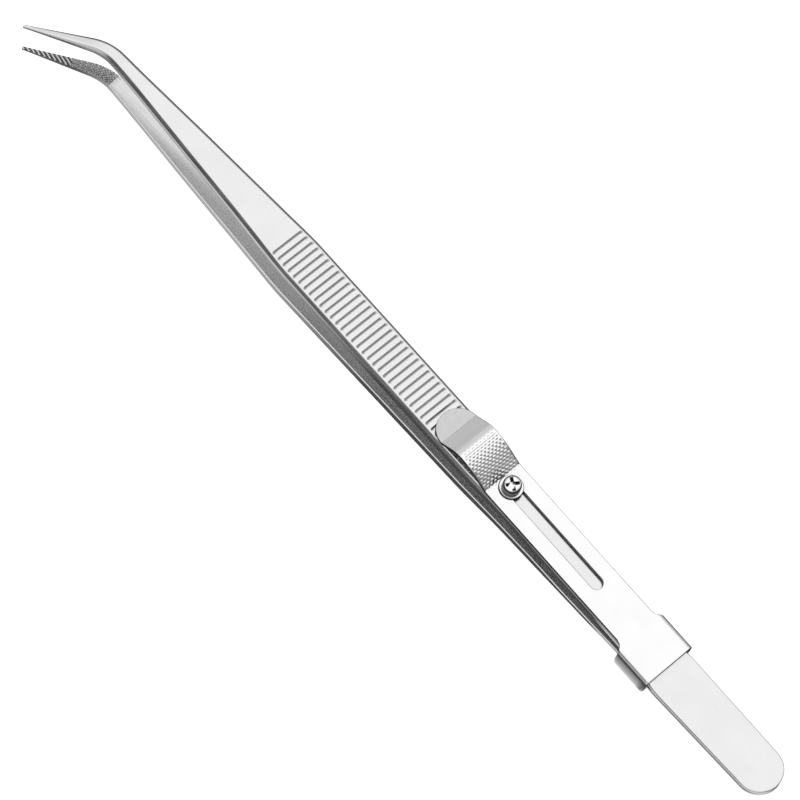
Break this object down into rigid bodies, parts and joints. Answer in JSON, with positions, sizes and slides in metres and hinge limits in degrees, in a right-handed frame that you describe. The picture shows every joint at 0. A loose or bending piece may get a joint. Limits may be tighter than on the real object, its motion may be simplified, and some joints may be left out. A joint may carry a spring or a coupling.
{
  "type": "aquascaping tweezers",
  "caption": "Fine-point stainless tweezers with a sideways-bent nose, ribbed grip and a screw-guided thumb slide whose collar locks the arms closed.",
  "frame": {"origin": "centre of the bounding box in plan, at its lowest level: the lower arm's nose lies on Z = 0 when the tweezers rest on that arm", "axes": "+X from the tips to the tail, +Z from the lower arm to the upper arm, +Y to the side away from the bent nose"},
  "size_m": [0.1698, 0.0128, 0.013],
  "materials": {
    "satin_steel": "satin, fine lengthwise grain",
    "bright_steel": "bright polished"
  },
  "bodies": {
    "tail": {"tail": "satin_steel"},
    "upper_arm": {"upper_arm": "satin_steel", "slide_screw": "bright_steel", "screw_washer": "bright_steel"},
    "lower_arm": {"lower_arm": "satin_steel"},
    "lock_slide": {"lock_slide": "bright_steel"}
  },
  "joints": [
    {"name": "upper_arm_flex", "type": "hinge", "parent": "tail", "child": "upper_arm", "pos_m": [0.06096, 0.00149, 0.00575], "axis": [0, -1, 0], "range_deg": [0, 1.45], "stiffness_Nm_per_rad": 10},
    {"name": "lower_arm_flex", "type": "hinge", "parent": "tail", "child": "lower_arm", "pos_m": [0.06096, 0.00149, 0.00575], "axis": [0, 1, 0], "range_deg": [0, 1.45], "stiffness_Nm_per_rad": 10},
    {"name": "lock_slide_travel", "type": "slide", "parent": "upper_arm", "child": "lock_slide", "axis": [-0.999, 0, 0.045], "range_m": [0, 0.0196]}
  ],
  "couplings": [
    {"joint": "upper_arm_flex", "follows": "lock_slide_travel", "rad_per_m": 1.28},
    {"joint": "lower_arm_flex", "follows": "lock_slide_travel", "rad_per_m": 1.28}
  ]
}
